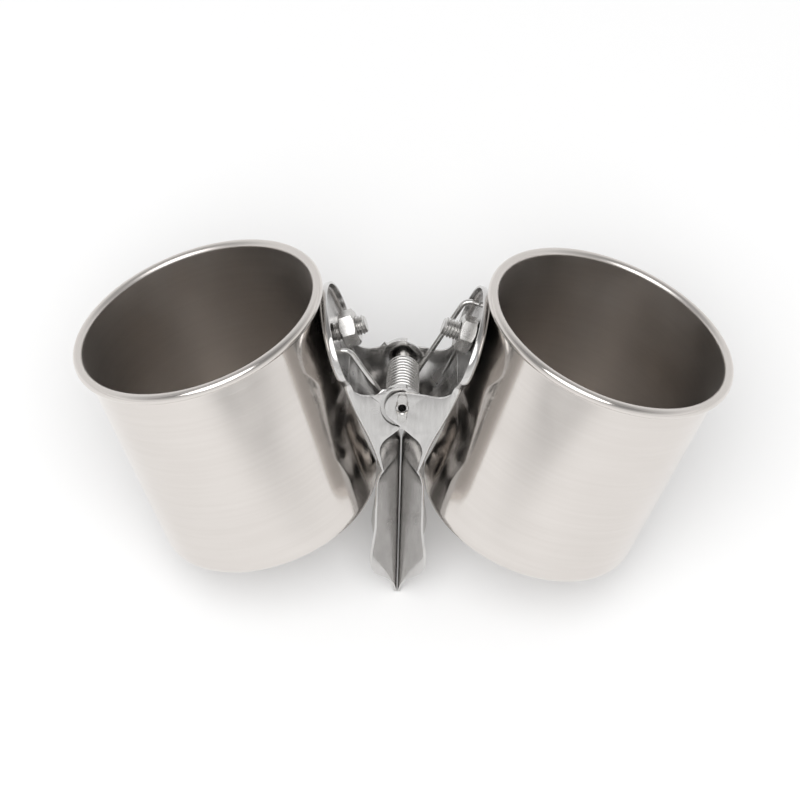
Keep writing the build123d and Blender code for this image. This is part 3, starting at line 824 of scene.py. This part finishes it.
def wire_tree():
    """Sweeps a ring along a row of points and caps the ends."""
    tree, given = new_tree("wire", Radius=0.5, Sides=WIRE_SIDES, Material=None)
    line = add(tree, "GeometryNodeMeshToCurve", {"Mesh": given["Geometry"]})
    size = {"Resolution": given["Sides"], "Radius": given["Radius"]}
    ring = add(tree, "GeometryNodeCurvePrimitiveCircle", size)
    sweep = {"Curve": line.outputs[0], "Profile Curve": ring.outputs[0], "Fill Caps": True}
    tube = add(tree, "GeometryNodeCurveToMesh", sweep)
    end_tree(tree, tube.outputs[0], given["Material"])
    return tree


wire_points = points_mesh("wire_line", wire_line)
spring_mesh = grow(wire_tree(), wire_points, Radius=WIRE_RADIUS, Sides=WIRE_SIDES, Material=WIRE_STEEL)
spring = place("torsion_spring_wire", spring_mesh, None, "spring", "torsion_spring")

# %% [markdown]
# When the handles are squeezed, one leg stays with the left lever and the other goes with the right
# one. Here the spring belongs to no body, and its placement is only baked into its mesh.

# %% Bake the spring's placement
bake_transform(spring)

# %% [markdown]
# ## Bolts and nuts
# Each cup hangs on one M6 bolt with a round head inside the cup. Its thread is a rule as well: the
# radius rises and falls once per millimetre along the shank, and the whole pattern climbs by one
# pitch per turn. The tree bends a grid round the shank, reads that rule, and closes both ends.


# %% Thread tree
BOLT_RADIUS, BOLT_LENGTH, THREAD_PITCH, THREAD_DEPTH = 3.0, 13.0, 1.0, 0.56
CREST_END, ROOT_START, END_CHAMFER = 0.12, 0.86, 0.75
THREAD_SIZES = dict(Radius=BOLT_RADIUS, Depth=THREAD_DEPTH, Pitch=THREAD_PITCH, Columns=49, Rows=301)


def thread_tree():
    """A threaded rod along Z with closed ends."""
    tree, given = new_tree("thread", **THREAD_SIZES, Start=0.0, Length=BOLT_LENGTH, Material=None)
    size = {"Size X": 1.0, "Size Y": 1.0, "Vertices X": given["Columns"], "Vertices Y": given["Rows"]}
    grid = add(tree, "GeometryNodeMeshGrid", size)
    flat = add(tree, "ShaderNodeSeparateXYZ", {0: add(tree, "GeometryNodeInputPosition").outputs[0]})
    turn = calc(tree, "ADD", flat.outputs[0], 0.5)
    share = calc(tree, "ADD", flat.outputs[1], 0.5)
    height = calc(tree, "MULTIPLY", share, given["Length"])
    phase = calc(tree, "FRACT", calc(tree, "ADD", calc(tree, "DIVIDE", height, given["Pitch"]), turn))
    wave = calc(tree, "ABSOLUTE", calc(tree, "MULTIPLY_ADD", phase, 2.0, -1.0))
    flank = {"Value": wave, "From Min": CREST_END, "From Max": ROOT_START, "To Min": 0.0, "To Max": 1.0}
    tooth = add(tree, "ShaderNodeMapRange", flank).outputs[0]
    cut = calc(tree, "SUBTRACT", given["Radius"], calc(tree, "MULTIPLY", tooth, given["Depth"]))
    to_end = calc(tree, "SUBTRACT", given["Length"], height)
    cone = calc(tree, "ADD", to_end, calc(tree, "SUBTRACT", given["Radius"], END_CHAMFER))
    after_start = calc(tree, "GREATER_THAN", share, 0.0)
    inside = calc(tree, "MULTIPLY", after_start, calc(tree, "LESS_THAN", share, 0.9999))
    reach = calc(tree, "MULTIPLY", calc(tree, "MINIMUM", cut, cone), inside)
    angle = calc(tree, "MULTIPLY", turn, 2 * math.pi)
    spot = round_z(tree, reach, angle, calc(tree, "ADD", height, given["Start"]))
    moved = add(tree, "GeometryNodeSetPosition", {"Geometry": grid.outputs["Mesh"], "Position": spot})
    welded = add(tree, "GeometryNodeMergeByDistance", {"Geometry": moved.outputs[0], "Distance": 0.001})
    end_tree(tree, welded.outputs[0], given["Material"])
    return tree


# %% [markdown]
# The head is turned like the cup, and a cross is cut into it with two bars.


# %% Head tree
HEAD_SIZES = dict(Steps=64, Length=5.6, Width=1.2, Depth=1.6)
# The bars differ a little in depth, because a boolean can lose the face where two floors are level.
BAR_HEIGHTS = (2.0, 1.9)


def turned_group(tree, given):
    """The turning tree used inside another one."""
    source = {"Geometry": given["Geometry"], "Steps": given["Steps"]}
    return add(tree, "GeometryNodeGroup", source, node_tree=TURNED).outputs[0]


def head_tree():
    """A turned head with a cross cut into its top."""
    tree, given = new_tree("head", **HEAD_SIZES, Top=0.0, Material=None)
    solid = turned_group(tree, given)
    cut = add(tree, "GeometryNodeMeshBoolean", operation="DIFFERENCE")
    tree.links.new(solid, cut.inputs[0])
    top = add(tree, "ShaderNodeCombineXYZ", {2: given["Top"]}).outputs[0]
    sides = given["Length"], given["Width"]
    for (length, width), height in zip((sides, sides[::-1]), BAR_HEIGHTS):
        depth = calc(tree, "MULTIPLY", given["Depth"], height)
        size = add(tree, "ShaderNodeCombineXYZ", {0: length, 1: width, 2: depth})
        cube = add(tree, "GeometryNodeMeshCube", {"Size": size.outputs[0]})
        bar = add(tree, "GeometryNodeTransform", {"Geometry": cube.outputs[0], "Translation": top})
        tree.links.new(bar.outputs[0], cut.inputs[1])
    end_tree(tree, cut.outputs[0], given["Material"])
    return tree


# %% [markdown]
# A nut starts as a turned ring with sloping faces. Every point that lies outside a hexagon is then
# pulled in to it, and the slopes leave the curved chamfer that real nuts have at their corners.


# %% Nut tree
NUT_FLATS, NUT_STEPS = 10.0, 96


def nut_tree():
    """A turned ring cut down to a hexagon."""
    tree, given = new_tree("nut", Steps=NUT_STEPS, Flats=NUT_FLATS, Material=None)
    turned = turned_group(tree, given)
    here = add(tree, "GeometryNodeInputPosition").outputs[0]
    x, y, z = add(tree, "ShaderNodeSeparateXYZ", {0: here}).outputs
    square = calc(tree, "ADD", calc(tree, "MULTIPLY", x, x), calc(tree, "MULTIPLY", y, y))
    reach = calc(tree, "SQRT", square)
    sixth = math.pi / 3
    turn = calc(tree, "ADD", calc(tree, "ARCTAN2", y, x), 6.5 * sixth)
    off = calc(tree, "SUBTRACT", calc(tree, "MODULO", turn, sixth), sixth / 2)
    half = calc(tree, "MULTIPLY", given["Flats"], 0.5)
    flat_reach = calc(tree, "DIVIDE", half, calc(tree, "COSINE", off))
    shrink = calc(tree, "DIVIDE", calc(tree, "MINIMUM", reach, flat_reach), reach)
    near_x, near_y = calc(tree, "MULTIPLY", x, shrink), calc(tree, "MULTIPLY", y, shrink)
    spot = add(tree, "ShaderNodeCombineXYZ", {0: near_x, 1: near_y, 2: z})
    moved = add(tree, "GeometryNodeSetPosition", {"Geometry": turned, "Position": spot.outputs[0]})
    end_tree(tree, moved.outputs[0], given["Material"])
    return tree


THREAD, HEAD, NUT = thread_tree(), head_tree(), nut_tree()
print("thread, head and nut trees:", *(len(tree.nodes) for tree in (THREAD, HEAD, NUT)), "nodes")

# %% [markdown]
# The sections of head and nut are drawn along the bolt's own axis, which is square to the handle. The
# cup's wall is round and not quite square to the bolt, so the head stands a little off it.

# %% Sections of head and nut
BOLT_HEAD_RADIUS, BOLT_HEAD_HEIGHT, HEAD_ROUND, HEAD_EDGE, HEAD_FLAT = 5.5, 3.4, 2.2, 0.2, 1.6
NUT_HEIGHT, NUT_TURN, NUT_FACE_RADIUS, NUT_SLOPE = 5.0, math.radians(35), 4.7, math.radians(30)
NUT_BORE_GAP, NUT_MOUTH, NUT_MOUTH_DEPTH = 0.04, 0.3, 0.25

wall_angle = HANDLE_LEAN - CUP_LEAN + TAPER
standoff = SEAT_GAP + (HANDLE_RISE - CUP_TOUCH_SETBACK - BOLT_RISE) * math.tan(wall_angle)
under_head = BOLT_HEAD_RADIUS**2 / (2 * (CUP_BASE_RADIUS - CUP_WALL))
under_head += BOLT_HEAD_RADIUS * math.tan(wall_angle)
seat = -(standoff + CUP_WALL + under_head + SEAT_GAP)
head_top = seat - BOLT_HEAD_HEIGHT
round_centre = (BOLT_HEAD_RADIUS - HEAD_ROUND, -head_top - HEAD_ROUND)
dome = [(0, 0, seat), (BOLT_HEAD_RADIUS - HEAD_EDGE, 0, seat), (BOLT_HEAD_RADIUS, 0, seat - HEAD_EDGE)]
dome += [(r, 0, -z) for r, _, z in arc(round_centre, HEAD_ROUND, 0, math.pi / 2, 10)]
dome += [(HEAD_FLAT, 0, head_top), (0, 0, head_top)]

nut_low = SHEET + SEAT_GAP
slope_radii = np.linspace(NUT_FACE_RADIUS, NUT_FLATS / math.sqrt(3), 9)
nut_section = [(BOLT_RADIUS + NUT_BORE_GAP, 0, NUT_MOUTH_DEPTH), (BOLT_RADIUS + NUT_MOUTH, 0, 0)]
nut_section += [(r, 0, (r - NUT_FACE_RADIUS) * math.tan(NUT_SLOPE)) for r in slope_radii]
nut_section += [(r, 0, NUT_HEIGHT - z) for r, _, z in nut_section[::-1]]
nut_section = [(r, 0, nut_low + z) for r, _, z in nut_section + nut_section[:1]]
print(f"head {-seat:.2f} mm behind the handle, nut {nut_low:.2f} mm before it")

# %% [markdown]
# Each side gets a bolt and a nut, turned into place with the bolt's axis. The left nut is backed off
# a little, because the photograph shows thread on both sides of it.


# %% Fasteners
LEFT_NUT_BACKED_OFF, ROD_IN_HEAD, FASTENER_SHARP = 2.2, 0.5, 28.0


def joined(name, *meshes):
    """Several meshes as one."""
    both = bmesh.new()
    for mesh in meshes:
        both.from_mesh(mesh)
    made = bpy.data.meshes.new(name)
    both.to_mesh(made)
    both.free()
    made.materials.append(BOLT_STEEL)
    return made


shank = dict(Start=seat - ROD_IN_HEAD, Length=BOLT_LENGTH + ROD_IN_HEAD)
for side, mirrored in SIDES:
    seed = points_mesh("seed", [(0, 0, 0), (0, 0, 1)])
    rod = grow(THREAD, seed, **THREAD_SIZES, **shank, Material=BOLT_STEEL)
    head = grow(HEAD, points_mesh("dome", dome), **HEAD_SIZES, Top=head_top, Material=BOLT_STEEL)
    ring = points_mesh("nut_section", nut_section)
    nut = grow(NUT, ring, Steps=NUT_STEPS, Flats=NUT_FLATS, Material=BOLT_STEEL)
    off = LEFT_NUT_BACKED_OFF if mirrored else 0.0
    nut.transform(Matrix.Translation((0, 0, off)) @ Matrix.Rotation(NUT_TURN, 4, "Z"))
    for mesh, what in ((joined("bolt", rod, head), "cup_bolt"), (nut, "cup_nut")):
        mesh.transform(bolt_axis)
        node = side.replace("side", what)
        place(node + "_cut", mesh, side, "fastener", node, mirrored=mirrored, sharp=FASTENER_SHARP)

# %% [markdown]
# ## Pivot pin
# The pin is a piece of tube. At each end it is split in two and the halves are bent flat over the
# ears, one up and one down, which holds the whole clip together without a rivet head.


# %% Pin
PIN_BORE_RADIUS, PIN_EDGE, PIN_STEPS = 1.3, 0.1, 64
TAB_WIDTH, TAB_REACH, TAB_THICKNESS, TAB_EDGE = 2.7, 4.7, 0.55, 0.1
TAB_BEND, TAB_LIFT, TAB_ROOT, TAB_END = TAB_THICKNESS + 0.15, 0.05, 1.2, 1.0
TAB_COLUMNS, TAB_BEND_STEPS = 10, 6
END_NARROWING, BOW_SPAN, BOW_FLATTENING = 0.75, 0.92, 0.85


def tab_patch(end, way):
    """The outer face of one bent half: inside of the tube, round the bend, and up the ear."""
    face_y = FLANGE_Y + EAR_CLEARANCE + TAB_THICKNESS
    low, half = PIN_BORE_RADIUS + TAB_LIFT, TAB_WIDTH / 2
    track = [(face_y - TAB_BEND - TAB_ROOT, low, 0.0)]
    for a in np.linspace(0, math.pi / 2, TAB_BEND_STEPS + 1):
        track.append((face_y - TAB_BEND * (1 - math.sin(a)), low + TAB_BEND * (1 - math.cos(a)), a))
    top = track[-1][1]
    for share in (0.3, 0.6, 0.8, 0.9, 0.96, 1.0):
        track.append((face_y, top + (TAB_REACH - top) * share, math.pi / 2))
    rows = []
    for y, z, a in track:
        flat = min(1.0, max(0.0, (z - PIN_BORE_RADIUS) / (top - PIN_BORE_RADIUS)))
        near = max(0.0, (z - (TAB_REACH - TAB_END)) / TAB_END)
        width = half * math.sqrt(max(0.0, 1 - END_NARROWING * near**2))
        row = []
        for s in np.linspace(-1, 1, TAB_COLUMNS + 1):
            bow = half * (1 - math.sqrt(1 - (BOW_SPAN * s) ** 2)) * (1 - BOW_FLATTENING * flat)
            row.append(Vector((width * s, end * (y + bow * math.sin(a)), way * (z - bow * math.cos(a)))))
        rows.append(row)
    return rows


def pin_mesh():
    """The tube with its four bent halves."""
    tabs = []
    for end in (-1, 1):
        for way in (1, -1):
            outer_face = skin("tab", [tab_patch(end, way)], [], Vector((0, end, 0)))
            tabs.append(thickened(outer_face, TAB_THICKNESS, TAB_EDGE))
    reach, outer = FLANGE_Y + EAR_CLEARANCE - PIN_EDGE, PIN_RADIUS - PIN_EDGE
    tube = [(PIN_BORE_RADIUS, 0, -reach), (outer, 0, -reach), (PIN_RADIUS, 0, PIN_EDGE - reach)]
    tube += [(r, 0, -z) for r, _, z in tube[::-1]] + tube[:1]
    barrel = grow(TURNED, points_mesh("tube", tube), Steps=PIN_STEPS, Material=BOLT_STEEL)
    barrel.transform(Matrix.Rotation(math.pi / 2, 4, "X"))
    return joined("pin", barrel, *tabs)


place("pivot_pin_tube", pin_mesh(), LEFT, "clip", "pivot_pin")

# %% [markdown]
# ## Light, floor and camera
# The photograph was taken on white with soft light from all round, so the floor is white paper and
# the shadows are faint. The paper glows a little where the camera or a mirror sees it, because a real
# sheet is lit from far outside this small stage.

# %% Stage
GLOW_SEEN, GLOW_MIRRORED = 0.03, 0.08

scene = bpy.context.scene
scene.view_settings.view_transform = "Standard"
floor_mesh = bpy.data.meshes.new("floor")
floor_mesh.from_pydata([(-3, -3, 0), (3, -3, 0), (3, 3, 0), (-3, 3, 0)], [], [(0, 1, 2, 3)])
floor = linked("floor", floor_mesh)
paper = bpy.data.materials.new("paper")
tree = blank_tree(paper)
spot = add(tree, "ShaderNodeTexCoord").outputs["Object"]
grain = add(tree, "ShaderNodeTexNoise", {"Vector": spot, "Scale": 4.0})
tones = {"Factor": grain.outputs[0], "A": (0.88, 0.88, 0.88, 1), "B": (0.90, 0.90, 0.90, 1)}
tone = add(tree, "ShaderNodeMix", tones, data_type="RGBA")
diffuse = add(tree, "ShaderNodeBsdfDiffuse", {"Color": output(tone, "Result")})
rays = add(tree, "ShaderNodeLightPath").outputs
seen = calc(tree, "MULTIPLY", rays["Is Camera Ray"], GLOW_SEEN)
reflected = calc(tree, "MULTIPLY", rays["Is Glossy Ray"], GLOW_MIRRORED)
shine = {"Color": (1, 1, 1, 1), "Strength": calc(tree, "ADD", seen, reflected)}
glow = add(tree, "ShaderNodeEmission", shine)
sheet = add(tree, "ShaderNodeAddShader", {0: diffuse.outputs[0], 1: glow.outputs[0]})
add(tree, "ShaderNodeOutputMaterial", {"Surface": sheet.outputs[0]})
floor_mesh.materials.append(paper)
print("floor", tuple(round(v, 2) for v in floor.dimensions))

# %% [markdown]
# Polished steel is mostly a picture of its surroundings. The sky is white to the camera. For mirrored
# rays alone it is bright near the horizon and darker overhead, and that contrast shows the form of the
# beads, the wire and the bends. One large soft lamp above gives the shadow.

# %% World and lights
SKY, SKY_SEEN, LAMP_AIM = 0.65, 0.35, Vector((0, 0, 0.05))

world = bpy.data.worlds.new("studio")
scene.world = world
tree = blank_tree(world)
direction = add(tree, "ShaderNodeTexCoord").outputs["Generated"]
up = add(tree, "ShaderNodeSeparateXYZ", {0: direction}).outputs[2]
fade = {"Value": up, "From Min": 0.2, "From Max": 0.75, "To Min": 0.38, "To Max": -0.3}
mirror_gain = add(tree, "ShaderNodeMapRange", fade).outputs[0]
rays = add(tree, "ShaderNodeLightPath").outputs
strength = calc(tree, "MULTIPLY_ADD", rays["Is Camera Ray"], SKY_SEEN, SKY)
strength = calc(tree, "MULTIPLY_ADD", rays["Is Glossy Ray"], mirror_gain, strength)
sky = add(tree, "ShaderNodeBackground", {"Color": (1, 1, 1, 1), "Strength": strength})
add(tree, "ShaderNodeOutputWorld", {"Surface": sky.outputs[0]})


def soft_light(name, at, size, power):
    """A round area lamp aimed at the middle of the part."""
    lamp = bpy.data.lights.new(name, "AREA")
    lamp.shape, lamp.size, lamp.energy = "DISK", size, power
    light = linked(name, lamp)
    light.location = at
    light.rotation_euler = (LAMP_AIM - Vector(at)).to_track_quat("-Z", "Y").to_euler()
    return light


top = soft_light("top", at=(-0.1, -0.42, 1.25), size=1.3, power=11.5)
print("lamp", top.name, "at", tuple(round(v, 2) for v in top.location), "m")

# %% [markdown]
# The camera stands high in front, as it did for the photograph. It was found by matching the rims and
# bases of both cups, and a long lens keeps the two cups nearly the same size.


# %% Camera
def photo_camera(lens, distance, elevation, azimuth, roll, aim):
    """A camera at a distance from its aim, angles in degrees."""
    up_angle, round_angle, tilt = (math.radians(v) for v in (elevation, azimuth, roll))
    level = Vector((math.sin(round_angle), -math.cos(round_angle), 0))
    back = level * math.cos(up_angle) + Vector((0, 0, math.sin(up_angle)))
    right = Vector((math.cos(round_angle), math.sin(round_angle), 0))
    up = back.cross(right)
    turned = right * math.cos(tilt) + up * math.sin(tilt)
    upright = up * math.cos(tilt) - right * math.sin(tilt)
    facing = Matrix((turned, upright, back)).transposed().to_4x4()
    data = bpy.data.cameras.new("camera")
    data.lens, data.sensor_width = lens, 36.0
    camera = linked("camera", data)
    camera.matrix_world = Matrix.Translation(Vector(aim) + back * distance) @ facing
    return camera


aim = (-0.000717, 0.0, 0.055943)
scene.camera = photo_camera(135.0, distance=0.9261, elevation=65.592, azimuth=0.027, roll=1.556, aim=aim)
print("camera at", tuple(round(v, 3) for v in scene.camera.matrix_world.translation), "m")
